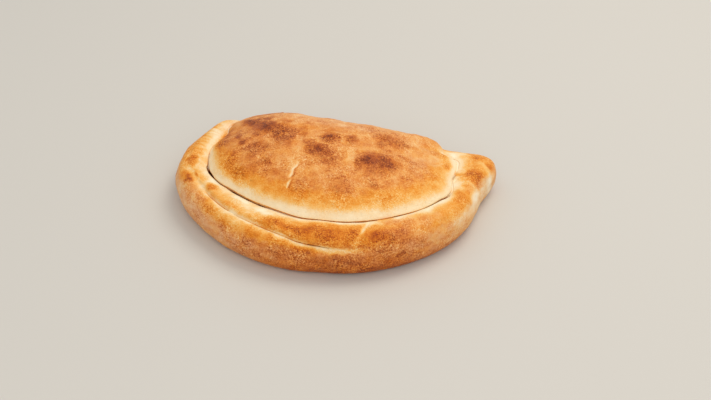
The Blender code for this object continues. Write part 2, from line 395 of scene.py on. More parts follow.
# %% Rows up the rim and the fold
BASE_ROWS = 4
UNDER_ROWS = 10
ROLL_ROWS = 22
FLAP_ROWS = 22
ROLL_CROWDING = 1.5  # how much the roll's rows crowd towards the crease
FLAP_CROWDING = 0.65  # share of the flap's rows that crowd towards its two ends
WIDEST_INSET = 0.49  # of the rim's width, so that the crease stays on the outer half
FOLD_REACH = 0.15  # how far up the fold its rows reach before the dome's own begin, of a right angle
FOLD_STRETCH = 2.2  # where that is on the rim's own scale, which has its lip at 2


def lip_edge(angle):
    """Distance from the middle to the lip, where the flap ends over the foot of the dome."""
    return outline(angle) - RIM_WIDTH(angle) - GAP_AT_FOOT + LIP_STANDS_OFF(angle)


def rim_point(t, angle):
    """The rolled edge at 0 is its belly, at 1 its crest and at 2 the lip over the gap."""
    half = RIM_WIDTH(angle) / 2
    crest = outline(angle) - half
    turn = np.minimum(t, 1) * pi / 2
    past = np.maximum(t - 1, 0)
    radius = crest + half * np.cos(turn) - (crest - lip_edge(angle)) * past
    rise = (RIM_TOP(angle) - BELLY_HEIGHT) * np.sin(turn)
    return np.array([radius, BELLY_HEIGHT + rise - LIP_DROP * past**3])


def fold_point(t, angle):
    """The fold at 0 is its belly, and at FOLD_STRETCH the place where the dome's own rows begin."""
    return dome(np.cos(t / FOLD_STRETCH * FOLD_REACH * pi / 2), angle)


def rim_steps(angle):
    """How far up the rim each of its rows lies: up the roll to the crease, and over the flap."""
    width = RIM_WIDTH(angle)
    inset = np.minimum(CREASE_INSET(angle), WIDEST_INSET * width)
    at_crease = np.arccos(1 - 2 * inset / width) / (pi / 2)
    steps = [at_crease * (1 - (1 - i / ROLL_ROWS) ** ROLL_CROWDING) for i in range(ROLL_ROWS)]
    for i in range(FLAP_ROWS + 1):
        t = i / FLAP_ROWS
        crowded = (1 - FLAP_CROWDING) * t + FLAP_CROWDING * ease(0, 1, t)
        steps.append(at_crease + (2 - at_crease) * crowded)
    return steps


print("rows up the rim:", len(rim_steps(0.0)))

# %% [markdown]
# The second seam is sunk into the rim along the rim's own normal, as a thumbnail would press it. The
# first seam is drawn as a curve through five corners: over the lip, down its inner side, across the
# bottom, and up under the dome to its foot.

# %% Rows of the seams
GAP_STEPS = 3  # rows for each stretch of the gap
FOOT_ROWS = 15
FOOT_REACH = 0.32  # how far up the dome the rows of its foot reach, of a right angle
LIP_TUCK = 0.25  # how far the inner side of the lip lies back under it
LIP_SIDE = 0.4  # of the gap's depth, where the side of the lip turns to the bottom
DOME_SIDE = 0.55  # of the gap's depth, where the undercut of the dome is widest


def distance_along(rows):
    """Distance from the first row to each row, along the section."""
    steps = np.diff(rows, axis=0)
    lengths = np.hypot(steps[:, 0], steps[:, 1])
    return np.concatenate([np.zeros((1, rows.shape[2])), np.cumsum(lengths, axis=0)])


def with_crease(rim, angle):
    """The rim's rows with the valley and the slit of the second seam sunk into them."""
    along = distance_along(rim)
    past_crease = along - along[ROLL_ROWS]
    reach = np.where(past_crease > 0, VALLEY_ABOVE, VALLEY_BELOW)
    sunk = VALLEY_DEPTH(angle) * near(past_crease, reach)
    sunk = sunk + SLIT_DEPTH(angle) * near(past_crease, SLIT_WIDTH)
    tangent = np.gradient(rim, axis=0)
    tangent = tangent / np.hypot(tangent[:, 0], tangent[:, 1])[:, None]
    inwards = np.stack([-tangent[:, 1], tangent[:, 0]], axis=1)
    return rim + sunk[:, None] * inwards


def through(points, steps):
    """Rows on a smooth curve through the inner points; the first and the last only lend it direction."""
    rows = []
    for before, start, end, after in zip(points, points[1:], points[2:], points[3:]):
        for t in np.arange(steps) / steps:
            bend = 2 * start + (end - before) * t
            bend = bend + (2 * before - 5 * start + 4 * end - after) * t**2
            rows.append((bend + (3 * start - before - 3 * end + after) * t**3) / 2)
    return rows


def gap_rows(rim, angle):
    """Rows over the lip, down its inner side, across, and up under the foot of the dome."""
    lip, foot, deep = lip_edge(angle), dome_edge(angle), GAP_DEPTH(angle)
    lip_height = rim[-1, 1]
    undercut = UNDERCUT * ease(0.4, 2.5, deep)
    corners = [
        rim[-2],
        rim[-1],
        np.array([lip + LIP_TUCK, lip_height - deep * LIP_SIDE]),
        np.array([(lip + foot) / 2 + LIP_TUCK / 5, lip_height - deep]),
        np.array([foot - undercut, lip_height - deep * DOME_SIDE]),
        np.array([foot, DOME_FOOT(angle)]),
        dome(np.cos(FOOT_REACH / FOOT_ROWS * pi / 2), angle),
    ]
    return through(corners, GAP_STEPS)[1:]


print("each stretch of the gap has", GAP_STEPS, "rows")

# %% [markdown]
# Now the section can be put together from the base up. Where the edge is rolled back, its rows follow
# the rim and the gap, along the fold they climb the dome's own side, and in between they are a mixture
# of the two, so the rim runs out softly at both ends of the fold.

# %% The whole section
SEGMENTS = 720


def base_rows(angle):
    """Rows from near the middle of the base to its edge, and up its rounding to the belly."""
    edge, rolled = outline(angle), ROLLED(angle)
    belly = rolled * BELLY_HEIGHT + (1 - rolled) * DOME_FOOT(angle)
    turns = [i / UNDER_ROWS * pi / 2 for i in range(UNDER_ROWS)]
    under = [np.array([edge - BASE_INSET * (1 - sin(turn)), belly * (1 - cos(turn))]) for turn in turns]
    flat = [np.array([under[0][0] * (i + 1) / (BASE_ROWS + 1), 0 * angle]) for i in range(BASE_ROWS)]
    return flat + under


def section(angle):
    """All rows from the base to the foot of the dome, as [row, radius or height, angle]."""
    rolled = ROLLED(angle)
    steps = rim_steps(angle)
    rim = with_crease(np.array([rim_point(t, angle) for t in steps]), angle)
    fold = np.array([fold_point(t, angle) for t in steps])
    rows = base_rows(angle) + list(rolled * rim + (1 - rolled) * fold)
    gap = gap_rows(rim, angle)
    for i, row in enumerate(gap):
        t = 2 + (FOLD_STRETCH - 2) * (i + 1) / (len(gap) + 1)
        rows.append(rolled * row + (1 - rolled) * fold_point(t, angle))
    foot_row = len(rows)
    start = (1 - rolled) * FOLD_REACH
    for i in range(FOOT_ROWS + 1):
        reach = start + (1 - start) * FOOT_REACH * i / FOOT_ROWS
        rows.append(dome(np.cos(reach * pi / 2), angle))
    crease_row = BASE_ROWS + UNDER_ROWS + ROLL_ROWS
    return np.array(rows), {"crease": crease_row, "lip": crease_row + FLAP_ROWS, "foot": foot_row}


compass = np.linspace(0, 2 * pi, SEGMENTS, endpoint=False)
rows, named_row = section(compass)
print("the section has", len(rows), "rows:", named_row)

# %% [markdown]
# ## From a sheet to the crust
#
# The crust is made as the baker makes it, from a sheet. A grid is added with one column for each
# section and one line for each row of it. No operator bends a grid to a measured curve, so its points
# are set in code, as a sculptor would grab them: the sheet stands up in a ring, and Bridge joins its
# two ends.

# %% Stand the sheet up in a ring
import bmesh

bpy.ops.object.select_all(action="DESELECT")
bpy.ops.mesh.primitive_grid_add(
    x_subdivisions=SEGMENTS - 1, y_subdivisions=len(rows) - 1, size=1, location=middle, scale=high - low
)
crust = bpy.context.object
crust.name = "calzone_crust"
bpy.ops.object.transform_apply(location=True, rotation=True, scale=True)


def read_points(mesh):
    """The mesh's points as an array, one line for each."""
    points = np.empty(len(mesh.vertices) * 3, np.float32)
    mesh.vertices.foreach_get("co", points)
    return points.reshape(-1, 3).astype(float)


def write_points(mesh, points):
    """Moves the mesh's points to those of the array."""
    mesh.vertices.foreach_set("co", points.astype(np.float32).ravel())
    mesh.update()


sheet = read_points(crust.data)
share_of_sheet = (sheet - sheet.min(axis=0))[:, :2] / (sheet.max(axis=0) - sheet.min(axis=0))[:2]
segment = np.round(share_of_sheet[:, 0] * (SEGMENTS - 1)).astype(int)
ring = np.round(share_of_sheet[:, 1] * (len(rows) - 1)).astype(int)
radius, height = rows[ring, 0, segment], rows[ring, 1, segment]
across, back = radius * np.cos(compass[segment]), radius * np.sin(compass[segment])
write_points(crust.data, np.stack([across, back, height], axis=1))
print("sheet:", SEGMENTS, "by", len(rows), "points")

# %% [markdown]
# The ring still has a hole in the base, closed with one flat face, and one in the middle of the dome,
# closed with Grid Fill, which lays an even net that doesn't pinch the shading as the pole of a sphere
# would. The net is then lifted onto the dome.

# %% Close the ring
def edit_with(mesh, chosen, operator, **settings):
    """Selects the chosen points in edit mode, the first of them active, and runs one operator."""
    bpy.ops.object.mode_set(mode="EDIT")
    bpy.ops.mesh.select_mode(type="VERT")
    bpy.ops.mesh.select_all(action="DESELECT")
    edit = bmesh.from_edit_mesh(mesh)
    edit.verts.ensure_lookup_table()
    for number in chosen:
        edit.verts[number].select_set(True)
    edit.select_history.clear()
    edit.select_history.add(edit.verts[chosen[0]])
    edit.select_flush_mode()
    bmesh.update_edit_mesh(mesh)
    operator(**settings)
    bpy.ops.object.mode_set(mode="OBJECT")


ends = np.flatnonzero((segment == 0) | (segment == SEGMENTS - 1))
base_hole = np.flatnonzero(ring == 0)
dome_hole = np.flatnonzero(ring == len(rows) - 1)
corner = SEGMENTS // 8  # the net's first corner is half a quarter round from +X
dome_hole = dome_hole[np.argsort((segment[dome_hole] - corner) % SEGMENTS)]
edit_with(crust.data, ends.tolist(), bpy.ops.mesh.bridge_edge_loops)
edit_with(crust.data, base_hole.tolist(), bpy.ops.mesh.edge_face_add)
edit_with(crust.data, dome_hole.tolist(), bpy.ops.mesh.fill_grid, span=SEGMENTS // 4)
bpy.ops.object.mode_set(mode="EDIT")
bpy.ops.mesh.select_all(action="SELECT")
bpy.ops.mesh.normals_make_consistent(inside=False)
bpy.ops.object.mode_set(mode="OBJECT")

points = read_points(crust.data)
angle = np.arctan2(points[:, 1], points[:, 0])
radius = np.hypot(points[:, 0], points[:, 1])
in_net = np.arange(len(points)) >= len(ring)
share = np.clip(radius / dome_edge(angle), 0, 1)
points[in_net, 2] = dome(share, angle)[1][in_net]
write_points(crust.data, points)
print("crust:", len(points), "points,", int(in_net.sum()), "of them in the net on the dome")

# %% [markdown]
# ## Where each point is on the dough
#
# Relief and colour both follow the seams, so every point is told its distance along the surface from
# the crease, from the lip and from the foot of the dome. Then the crust is put where the solid is.

# %% Measure the distances and stand the crust in its place
along = distance_along(rows)


def round_the_net(values):
    """Values of the last row of the section, read for each point in the net on the dome."""
    return np.interp(angle[in_net], compass - pi, np.roll(values, SEGMENTS // 2))


def surface_distance(name):
    """Distance past a named row, in mm along the section: positive towards the top of the dome."""
    past = along - along[named_row[name]]
    to_net_edge = round_the_net(past[-1])
    past_net_edge = round_the_net(rows[-1, 0]) - radius[in_net]
    return np.concatenate([past[ring, segment], to_net_edge + past_net_edge])


past_crease = surface_distance("crease")
past_lip = surface_distance("lip")
past_foot = surface_distance("foot")
rolled = ROLLED(angle)

MM = 0.001
box_middle = (points.max(axis=0) + points.min(axis=0)) / 2
points -= (box_middle[0], box_middle[1], 0)
points += (middle.x / MM, middle.y / MM, low.z / MM)
write_points(crust.data, points)
print("crust, in mm:", (points.max(axis=0) - points.min(axis=0)).round(1))

# %% [markdown]
# ## Blisters, lumps and wrinkles
#
# Steam under the skin raises blisters, and dough that was rolled by hand is never even. Displace
# modifiers could do this with textures, but here each blister and wrinkle has its place, so the points
# are moved in code. That takes a few helpers: noise for what has no place of its own, soft spots and
# lines for what has one.

# %% Soft noise, soft spots and soft lines
from mathutils import noise

CELL_BORDER = 0.16  # width of the line where two cells meet, in cells
CELL_TOP = 0.75  # how far the rounded top of a cell reaches, in cells
RINGED_FROM = 0.16  # the strength from which a spot has a ring
RING_AT = 1.35  # in half widths of the spot
RING_WIDTH = 0.22


def lumps(size, seed, places):
    """Soft noise from about -1 to 1 at each place, with lumps about `size` mm across."""
    shifted = places / size + np.array([13.7, 7.1, 3.3]) * seed
    return np.array([noise.noise(place) for place in shifted.tolist()])


def cells(size, seed, places):
    """Cells about `size` mm across: 1 where two of them meet, and a rounded top in each."""
    shifted = places / size + np.array([3.1, 9.7, 5.9]) * seed
    nearest, second = np.array([noise.voronoi(place)[0][:2] for place in shifted.tolist()]).T
    return near(second - nearest, CELL_BORDER), np.clip(1 - (nearest / CELL_TOP) ** 2, 0, 1)


def spots(listed, x, y, steepness=1, ring=0.0):
    """The sum of oval spots: x, y, length, width, turn in degrees, and strength.

    Steeper spots have a flatter top and a clearer edge. A ring takes off that share of the strength
    just outside the edge of every strong spot.
    """
    total = np.zeros(len(x))
    for middle_x, middle_y, length, width, turn, strength in listed:
        along = (x - middle_x) * cos(radians(turn)) + (y - middle_y) * sin(radians(turn))
        across = (y - middle_y) * cos(radians(turn)) - (x - middle_x) * sin(radians(turn))
        apart = (2 * along / length) ** 2 + (2 * across / width) ** 2
        total += strength * np.exp(-(apart**steepness))
        if strength > RINGED_FROM:
            total -= ring * strength * near(np.sqrt(apart) - RING_AT, RING_WIDTH)
    return total


def from_line(line, x, y):
    """Distance of each place from a line of points, seen from above."""
    nearest = np.full(len(x), np.inf)
    for (x0, y0), (x1, y1) in zip(line, line[1:]):
        length = np.hypot(x1 - x0, y1 - y0)
        t = np.clip(((x - x0) * (x1 - x0) + (y - y0) * (y1 - y0)) / length**2, 0, 1)
        nearest = np.minimum(nearest, np.hypot(x - x0 - t * (x1 - x0), y - y0 - t * (y1 - y0)))
    return nearest


def surface_normals(mesh):
    """The direction that the surface faces at each point."""
    normals = np.empty(len(mesh.vertices) * 3, np.float32)
    mesh.vertex_normals.foreach_get("vector", normals)
    return normals.reshape(-1, 3).astype(float)


print("noise at the first point:", round(float(lumps(10, 1, points[:1])[0]), 3))

# %% [markdown]
# The big blisters come first. Each is a soft oval, lifted straight up as steam lifts it and highest in
# its middle. Most of them stand on the dome, the others on the rim.

# %% Raise the blisters
# Seen from above, each: x, y, length, width, turn in degrees, and height, in mm.
BLISTERS = [
    (-56, 36, 30, 18, -10, 2.2),
    (-40, 14, 22, 18, 0, 1.6),
    (-76, 20, 26, 20, 30, 1.6),
    (-68, -9, 26, 16, -25, 1.3),
    (-12, 9, 28, 18, 0, 2.2),
    (3, 26, 28, 14, -5, 1.6),
    (34, 0, 36, 24, 0, 2.6),
    (48, 36, 28, 18, -20, 1.4),
    (5, -24, 26, 18, 10, 1.4),
    (39, -25, 24, 16, 10, 1.2),
    (67, 3, 18, 18, 0, 1.0),
    (113, 22, 18, 15, 40, 1.8),
    (95, -16, 26, 16, 60, 1.2),
    (84, -40, 26, 16, 35, 1.0),
    (44, -67, 28, 14, 12, 1.4),
    (-4, -72, 34, 12, 0, 1.0),
    (-42, -59, 30, 12, -18, 1.0),
    (-92, -24, 24, 12, -55, 1.2),
    (-112, -8, 18, 14, 80, 1.0),
    (-110, 40, 34, 16, 70, 1.2),
]

x, y = points[:, 0], points[:, 1]
upward = np.maximum(surface_normals(crust.data)[:, 2], 0)
points[:, 2] += spots(BLISTERS, x, y) * upward
write_points(crust.data, points)
print("raised", len(BLISTERS), "blisters")

# %% [markdown]
# Next come finer lumps of four sizes, each about half as wide as the last and lower, and what has a
# place of its own: soft creases between the blisters and across the rim, the ridge at the right end,
# the dry crack in the dome, and the wrinkles where the rim was pulled together on the left. All of it
# follows the normals. Near the seams the lumps fade, so that lip and dome don't grow together.

# %% Raise the skin
LUMPS = [(24, 0.5), (12, 0.40), (6, 0.26), (3.2, 0.16)]  # size and height in mm
# Lines on the skin, seen from above: points, width and height in mm. A height below 0 is a crease.
CREASES = [
    ([(33, -52), (30, -60), (27, -71), (24, -76)], 2.2, -0.9),
    ([(95, 13), (99, 20), (104, 27)], 1.8, -0.8),
    ([(-29, 34), (-29, 22), (-27, 12)], 4.0, -0.5),
    ([(14, 14), (15, 2), (17, -12)], 4.0, -0.5),
    ([(20, 28), (34, 20), (56, 22)], 5.0, -0.4),
    ([(62, -32), (68, -44), (70, -54)], 5.0, -0.5),
    ([(104, 2), (112, 4), (120, 2)], 5.0, -0.7),
    ([(106, 38), (114, 39), (122, 42)], 4.0, -0.6),
]
CRACK = [
    ([(-26.5, -8.5), (-27.2, -11), (-29.8, -14.5), (-30.1, -19), (-31.4, -22)], 1.5, -0.8),
    ([(-30.6, -25), (-31.8, -27.5), (-32.4, -31)], 1.0, -0.6),
]
END_RIDGE = ([(115, 41), (121, 36), (124.5, 28), (125, 18)], 4.0, 1.2)
# Wrinkles across the strip on the left: compass degrees, width in mm and depth in mm.
WRINKLES = [(151.5, 2.0, 0.4), (154.2, 1.6, 0.5), (157, 1.8, 0.6), (159.2, 1.4, 0.5), (161.8, 1.8, 0.6)]
WRINKLES += [(164.1, 1.3, 0.5), (166.2, 1.6, 0.6), (168.7, 1.4, 0.5), (171.5, 1.8, 0.6), (174, 1.4, 0.4)]
WRINKLES += [(177.5, 2.0, 0.5), (183, 2.2, 0.3), (188, 2.6, 0.3)]

normals = surface_normals(crust.data)
upward = np.maximum(normals[:, 2], 0)
relief = np.zeros(len(points))
for seed, (size, raised) in enumerate(LUMPS):
    relief += raised * lumps(size, seed, points)
relief *= 1 - 0.7 * near(past_lip - 1.5, 4) * rolled
relief *= 1 - 0.6 * near(past_crease, 2.5) * rolled
for line, width, raised in [*CREASES, *CRACK, END_RIDGE]:
    relief += raised * near(from_line(line, x, y), width / 2) * upward

on_strip = ease(3, 7, -past_lip) * ease(24, 17, -past_lip)
arm = np.hypot(points[:, 0] - points[0, 0], points[:, 1] - points[0, 1])
wrinkled = np.zeros(len(points))
for degrees, width, sunk in WRINKLES:
    # They slant a little, each by its own amount.
    slanted = radians(degrees) + 0.002 * sin(degrees) * (-past_lip - 10)
    wrinkled += sunk * near((angle - slanted) * arm, width / 2) * on_strip
relief -= wrinkled

off_floor = ease(0.5, 7, points[:, 2])
points += normals * (relief * off_floor)[:, None]
points[:, 2] = np.maximum(points[:, 2], low.z / MM)
write_points(crust.data, points)
print("relief from", relief.min().round(2), "to", relief.max().round(2), "mm")

# %% [markdown]
# ## What the oven did
#
# Dough goes from cream through gold and orange to brown as it bakes. How far it went at each place is
# one number, `bake`, from 0 to 1, and the colour ramp of the material turns it into a colour. A second
# number, `tan`, says where the crust is dull and floury, as on its sides, which saw little heat. Both
# are kept as attributes of the points. They could be painted with a brush, but a rule can be read and
# changed: pale in the seams, brown on what stood highest. Only what is this crust's own is listed,
# as soft spots that baked more or less than the rules say. Some of `bake` and `tan` is painted light:
# shade in the seams and on the side in front, and paler highlights along the back edge and on the
# ridge at the right end.

# %% Spots that baked more or less
# Seen from above, each: x, y, length, width, turn in degrees, and how much more or less it baked.
# On the dome, from left to right.
BROWNED_DOME = [
    (-100, 28, 7, 9, 0, 0.10), (-96, 56, 6, 20, 0, 0.10), (-94, 50, 9, 20, 5, 0.16),
    (-93, 28, 11, 16, 0, 0.16), (-88, 8, 10, 22, 0, 0.03), (-82, 3, 10, 16, 0, 0.16),
    (-80, 31, 6, 14, 10, 0.18), (-80, -6, 6, 14, 0, 0.10), (-79, 60, 12, 8, -20, 0.14),
    (-79, 55, 8, 10, 0, 0.08), (-78, 40, 50, 46, 0, 0.05), (-77, -15, 8, 12, 0, 0.16),
    (-75, 22, 12, 6, 0, 0.10), (-75, 18, 8, 6, 0, 0.22), (-75, -21, 12, 6, -40, 0.14),
    (-74, 53, 10, 12, 0, 0.12), (-72, 11, 10, 9, 0, 0.16), (-72, -13, 34, 9, -36, 0.06),
    (-64, 35, 14, 9, 0, 0.08), (-64, -12, 14, 10, 0, 0.10), (-63, 27, 12, 8, 0, 0.12),
    (-61, 8, 18, 18, 0, 0.16), (-60, 66, 40, 7, -6, 0.12), (-60, 42, 42, 17, -40, 0.20),
    (-59, 54, 9, 9, 0, 0.18), (-57, 35, 14, 12, -30, 0.10), (-54, 25, 9, 9, 0, 0.08),
    (-52, -7, 10, 8, 0, 0.16), (-50, 24, 9, 9, 0, 0.20), (-47, -16, 14, 8, -30, 0.10),
    (-43, 43, 9, 8, -40, 0.16), (-43, 33, 16, 12, -25, 0.18), (-42, 20, 16, 20, 20, 0.20),
    (-37, 8, 9, 9, 0, 0.12), (-35, 26, 6, 12, 0, 0.06), (-34, 28, 8, 14, 0, 0.10),
    (-30, 45, 8, 6, 0, 0.08), (-28, 29, 9, 12, 0, 0.10), (-25, 43, 8, 7, 0, 0.12),
    (-22, -34, 26, 10, -10, 0.06), (-21, -1, 12, 10, 0, 0.06), (-20, 15, 12, 8, 0, 0.18),
    (-15, 50, 9, 6, 0, 0.12), (-13, 6, 8, 6, 0, 0.10), (-12, 6, 24, 14, -5, 0.22),
    (-10, 32, 10, 7, 0, 0.06), (-6, 33, 14, 8, 0, 0.08), (-6, 23, 5, 4, 0, 0.08),
    (-5, 22, 16, 13, -10, 0.26), (-4, 13, 16, 6, 10, 0.10), (-2, -3, 14, 14, 0, 0.16),
    (2, -32, 10, 8, 0, 0.08), (4, 19, 6, 8, 0, 0.08), (10, -19, 8, 7, 0, 0.10), (11, 33, 9, 6, 0, 0.06),
    (11, -29, 15, 16, 0, 0.12), (12, 25, 11, 12, 0, 0.18), (19, -8, 7, 10, 0, 0.16),
    (27, 46, 12, 7, 0, 0.08), (27, -1, 12, 10, 0, 0.10), (30, -15, 12, 8, 0, 0.06),
    (32, -14, 12, 12, 0, 0.08), (34, 0, 34, 22, 0, 0.22), (35, 25, 8, 8, 0, 0.08),
    (39, -24, 14, 11, 0, 0.08), (42, 1, 14, 16, -20, 0.07), (44, 33, 30, 14, -10, 0.16),
    (44, 19, 5, 5, 0, 0.10), (44, -45, 20, 6, 15, 0.10), (47, -40, 12, 7, 15, 0.08),
    (51, 15, 5, 4, 0, 0.14), (58, -10, 14, 7, 10, 0.08), (58, -26, 8, 7, 0, 0.08),
    (62, 10, 12, 7, 0, 0.05), (92, 28, 10, 9, 0, 0.16), (93, 27, 6, 14, 0, 0.10),
    (94, 25, 8, 8, 0, 0.08),
]
# The long pale spots along the back edge, near y 56 to 67, are partly painted light: the sheen of the lamp
# behind on the far edge.
PALE_DOME = [
    (-90, 58, 8, 6, 0, -0.08), (-84, 67, 12, 6, -10, -0.10), (-71, 27, 6, 7, 0, -0.10),
    (-62, 50, 9, 6, -30, -0.10), (-57, 18, 11, 5, 0, -0.10), (-48, 38, 7, 9, 0, -0.12),
    (-46, 31, 6, 8, 0, -0.08), (-33, 57, 16, 10, 0, -0.12), (-31, -3, 12, 22, 20, -0.16),
    (-30, 45, 8, 12, 5, -0.10), (-28, -17, 20, 14, 0, -0.06), (-12, -14, 16, 8, 10, -0.14),
    (-7, 56, 34, 6, 0, -0.08), (2, 48, 16, 9, 0, -0.14), (5, 9, 9, 6, 0, -0.08),
    (8, -16, 12, 8, 0, -0.12), (13, 3, 6, 26, 0, -0.12), (15, 45, 10, 6, 0, -0.08),
    (16, 38, 7, 6, 0, -0.08), (21, 34, 8, 8, -10, -0.08), (26, 56, 90, 8, -5, -0.08),
    (28, 17, 10, 6, 0, -0.10), (35, -20, 9, 8, 0, -0.08), (50, 46, 9, 7, 0, -0.06),
    (60, 44, 16, 14, 0, -0.12), (60, -26, 16, 10, 30, -0.10), (62, 24, 26, 18, 0, -0.12),
    (66, 38, 12, 9, 0, -0.12), (68, 50, 10, 6, 0, -0.10), (74, 24, 8, 8, 0, -0.08),
    (76, 20, 22, 30, 0, -0.07), (79, 28, 10, 16, 0, -0.14), (80, -18, 14, 16, 0, -0.08),
    (82, -5, 8, 10, 0, -0.08), (87, 18, 8, 8, 0, -0.10),
]
# On the rim, from the left round the front to the right.
BROWNED_RIM = [
    (-112, 28, 9, 18, -8, 0.05), (-116, 14, 9, 16, 0, 0.20), (-104, 14, 5, 40, 0, 0.05),
    (-109, 8, 10, 50, 0, 0.05), (-117, 0, 8, 12, 0, 0.10), (-113, -2, 8, 14, 20, 0.06),
    (-113, -8, 8, 8, 0, 0.08), (-113, -9, 12, 10, -40, 0.24), (-93, -21, 12, 8, -50, 0.18),
    (-101, -30, 16, 5, -55, 0.08), (-90, -44, 18, 7, -45, 0.10), (-79, -57, 14, 6, -40, 0.10),
    (-55, -64, 12, 6, -25, 0.06), (-57, -70, 16, 8, -20, 0.08), (-38, -61, 20, 7, -22, 0.12),
    (-25, -67, 16, 6, -18, 0.12), (-14, -71, 9, 8, 0, 0.12), (-14, -81, 22, 5, 0, 0.10),
    (-10, -81, 20, 5, 0, 0.07), (-5, -68, 52, 8, -3, 0.14), (3, -70, 7, 6, 0, 0.06),
    (6, -74, 34, 5, 0, 0.14), (16, -77, 14, 5, 0, 0.08), (22, -68, 12, 10, -10, 0.12),
    (36, -76, 18, 5, 6, 0.08), (39, -69, 10, 7, 12, 0.12), (47, -66, 32, 12, 15, 0.14),
    (46, -45, 14, 5, 12, 0.08), (60, -58, 20, 12, 25, 0.08), (68, -62, 12, 6, 30, 0.08),
    (99, -12, 10, 16, 0, 0.09), (97, -4, 8, 8, 0, 0.10), (113, 20, 15, 20, 40, 0.20),
    (99, 24, 10, 7, 0, 0.16), (105, 26, 5, 10, 0, 0.06), (123, 41, 6, 9, 0, 0.16),
    (112, 51, 14, 8, -5, 0.16),
]
PALE_RIM = [
    (-106, 58, 8, 12, 0, -0.08), (-103, 48, 5, 16, -10, -0.06), (-92, -9, 8, 14, -30, -0.10),
    (-108, -26, 6, 8, 0, -0.06), (-68, -34, 16, 6, -35, -0.14), (-80, -45, 10, 6, -40, -0.08),
    (-80, -45, 14, 8, -40, -0.06), (-62, -46, 20, 8, -35, -0.06), (-68, -58, 16, 6, -35, -0.12),
    (-58, -52, 12, 6, -30, -0.08), (-50, -50, 26, 8, -25, -0.10), (-46, -48, 18, 6, -28, -0.14),
    (-48, -67, 14, 5, -20, -0.06), (-23, -64, 10, 8, 0, -0.08), (12, -55, 14, 6, 0, -0.08),
    (29, -64, 24, 5, 69, -0.16), (38, -54, 16, 5, 15, -0.08), (38, -53, 12, 5, 10, -0.08),
    (55, -44, 6, 6, 0, -0.08), (74, -33, 10, 10, 0, -0.08), (78, -34, 10, 12, 30, -0.12),
    (88, -14, 7, 10, 0, -0.08), (117, -3, 6, 20, -20, -0.14), (112, -2, 8, 14, -20, -0.14),
    (116, 4, 8, 12, -20, -0.10), (103, 9, 20, 8, 0, -0.10), (110, 20, 6, 7, 0, -0.12),
    (108, 51, 9, 8, 0, -0.16), (96, 55, 16, 8, -5, -0.24),
]
# Where flour stayed on the skin, and how much. The first two, along the back edge, are partly painted sheen.
FLOUR_AND_SHEEN = [
    (-15, 66, 190, 30, -5, 0.40), (0, 48, 100, 16, -5, 0.30), (-62, 20, 30, 22, 0, 0.10),
    (66, 14, 12, 16, 0, 0.30), (54, -48, 24, 8, 22, 0.45), (62, -61, 30, 15, 25, 0.60),
    (78, -42, 20, 12, 35, 0.30), (116, 8, 14, 26, -20, 0.40), (-108, -26, 14, 30, 35, 0.50),
]
SPOTS = [*BROWNED_DOME, *PALE_DOME, *BROWNED_RIM, *PALE_RIM]
print("spots:", len(SPOTS), "that baked more or less, and", len(FLOUR_AND_SHEEN), "with flour")

# %% [markdown]
# The rules change round the compass too. The foot of the dome stayed pale where the flap covered it,
# and so did the lip of the flap, each in a band that comes and goes. The side of the roll is brownest
# in front and palest at the right, and at the back and the left it is dull with flour. Its brown in
# front and near the floor is partly painted shade.

# %% Pale bands and brown sides
PALE_BAND = by_compass(  # width of the pale foot of the dome, in mm
    {0: 14, 8: 10, 18: 15, 28: 17, 40: 12, 130: 7, 155: 6, 166: 9, 176: 14, 186: 17, 200: 15, 225: 15}
    | {240: 15, 270: 14.5, 315: 15.5, 345: 15.5}
)
LIP_BAND = by_compass(  # width of the pale lip of the flap, in mm
    {0: 12, 145: 14, 152: 18, 158: 22, 166: 20, 178: 18, 190: 18, 205: 19, 225: 18, 240: 14, 262: 11}
    | {280: 10, 300: 9, 320: 12, 345: 14}
)
VALLEY_PALE = by_compass({0: 0, 178: 0, 184: 0.6, 200: 0.75, 212: 1, 262: 1, 280: 0.7, 296: 0})
# Bake of the side round the compass; the brown in front is partly painted shade.
SIDE_BAKE_AND_SHADE = by_compass(
    {0: 0.24, 15: 0.34, 40: 0.45, 90: 0.5, 140: 0.5, 165: 0.48, 180: 0.40, 195: 0.34, 210: 0.41}
    | {225: 0.44, 232: 0.48, 240: 0.53, 255: 0.60, 270: 0.65, 285: 0.68, 300: 0.66, 315: 0.56}
    | {330: 0.42, 345: 0.32}
)
# How much browner the side is near the floor, partly as painted shade, and how much paler near its top.
UNDERSIDE_BROWN = by_compass({0: 0.12, 180: 0.05, 230: 0, 265: 0.04, 300: 0.06, 316: 0.16, 340: 0.16})
SHOULDER_PALE = by_compass(
    {0: 0.06, 40: 0, 180: 0, 200: 0.03, 250: 0, 275: 0.04, 292: 0.10, 330: 0.09}
)
SIDE_FLOUR = by_compass(
    {0: 0.6, 45: 0.8, 90: 0.85, 150: 0.9, 200: 0.85, 235: 0.6, 260: 0.4, 300: 0.4, 330: 0.5}
)
print("the side's bake in front:", SIDE_BAKE_AND_SHADE(1.5 * pi).round(2), "and right:", SIDE_BAKE_AND_SHADE(0.0).round(2))

# %% [markdown]
# Three rules give the first coat: one for the dome, one for the rim with its side, its valley and the
# painted shade in its slit, and one for the fold behind. Each is roughened with noise, because no border
# in baked dough is a clean line.

# %% Bake the dome, the rim and the fold
COVERED = 0.06  # bake of dough that lay covered
GOLDEN = 0.33  # how much further open dough baked
CROWN_MORE = 0.08  # how much more again on the crown
LIP_BAKE = 0.10
FLAP_MORE = 0.31
FLAP_MORE_IN_FRONT = 0.03
VALLEY_BAKE = 0.14
PALE_ABOVE = 3.0  # how far the pale of the valley reaches into the flap, in mm
PALE_BELOW = 4.6  # and into the roll
SLIT_SHADE = 0.58
FOLD_BAKE = 0.35


def mixed(first, second, share):
    """The first value, the second where share is 1, and a mixture between."""
    return first * (1 - share) + second * share


